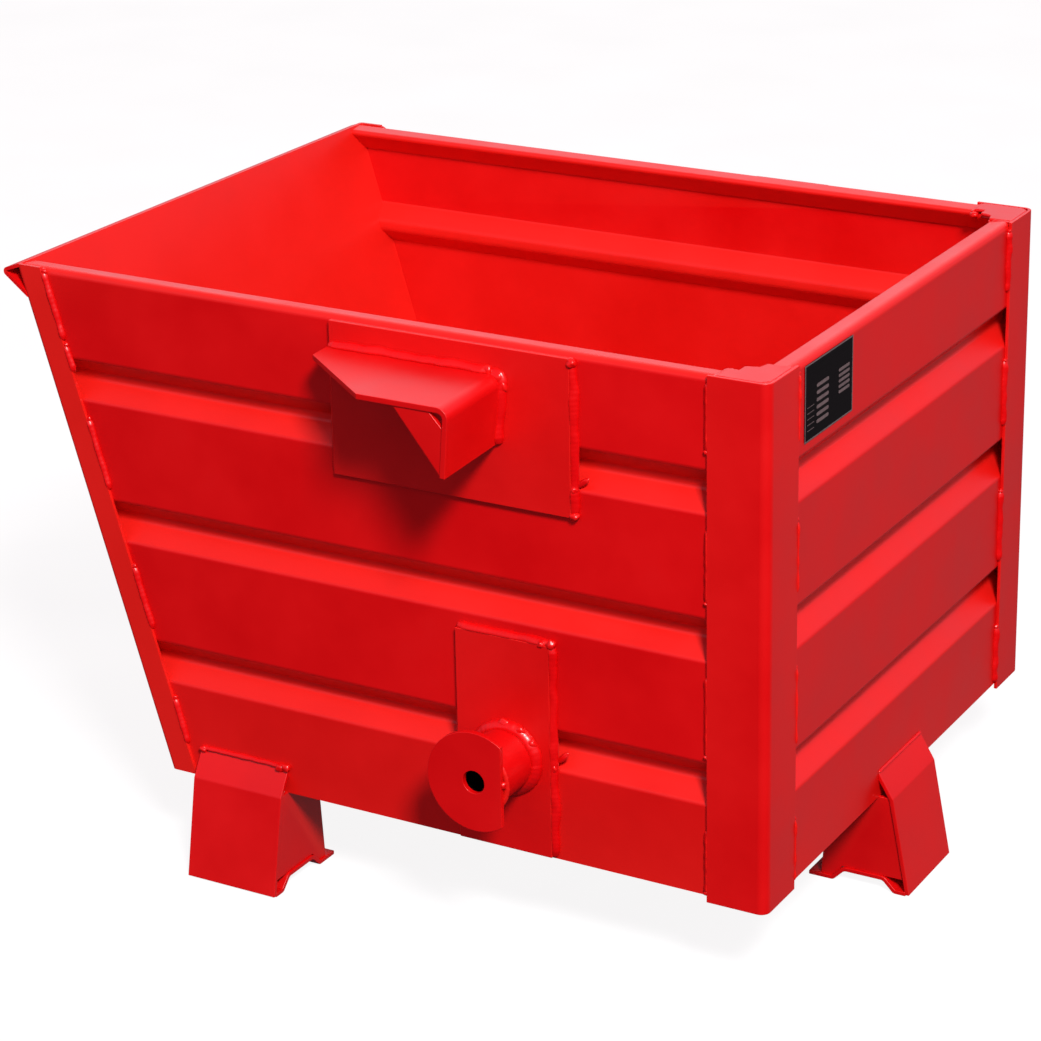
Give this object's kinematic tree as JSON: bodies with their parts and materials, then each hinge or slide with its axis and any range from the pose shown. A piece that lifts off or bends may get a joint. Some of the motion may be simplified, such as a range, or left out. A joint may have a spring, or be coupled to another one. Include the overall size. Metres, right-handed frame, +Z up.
{
  "type": "crane tipping skip",
  "caption": "Open welded steel skip with a sloped pouring front, ribbed walls, side trunnions and catches for crane tipping, and saddle feet for stacking.",
  "frame": {"origin": "on the floor under the feet, at the middle of the overall length and width", "axes": "+Z up; +X from the pouring front towards the rear wall; left is -Y, seen from behind the skip facing its pouring front"},
  "size_m": [1.2451, 1.1838, 0.878],
  "materials": {
    "red_paint": "semi-gloss red paint on welded sheet steel",
    "data_plate": "satin black data plate with blank light grey bars"
  },
  "bodies": {
    "root": {"rear_wall": "red_paint", "front_chute": "red_paint", "floor_plate": "red_paint", "side_wall_left": "red_paint", "side_wall_right": "red_paint", "corner_post_left": "red_paint", "corner_post_right": "red_paint", "rim_corner_plate_left": "red_paint", "rim_corner_plate_right": "red_paint", "catch_backing_plate_left": "red_paint", "catch_backing_plate_right": "red_paint", "catch_bracket_left": "red_paint", "catch_bracket_right": "red_paint", "catch_web_left": "red_paint", "catch_web_right": "red_paint", "trunnion_backing_plate_left": "red_paint", "trunnion_backing_plate_right": "red_paint", "trunnion_tube_left": "red_paint", "trunnion_tube_right": "red_paint", "trunnion_disc_left": "red_paint", "trunnion_disc_right": "red_paint", "foot_plate_left": "red_paint", "foot_plate_right": "red_paint", "foot_saddle_left": "red_paint", "foot_saddle_right": "red_paint", "foot_gusset_front_left": "red_paint", "foot_gusset_front_right": "red_paint", "foot_gusset_back_left": "red_paint", "foot_gusset_back_right": "red_paint", "foot_plate_rear": "red_paint", "foot_saddle_rear": "red_paint", "foot_gusset_rear_left": "red_paint", "foot_gusset_rear_right": "red_paint", "data_plate": "data_plate"}
  },
  "joints": []
}
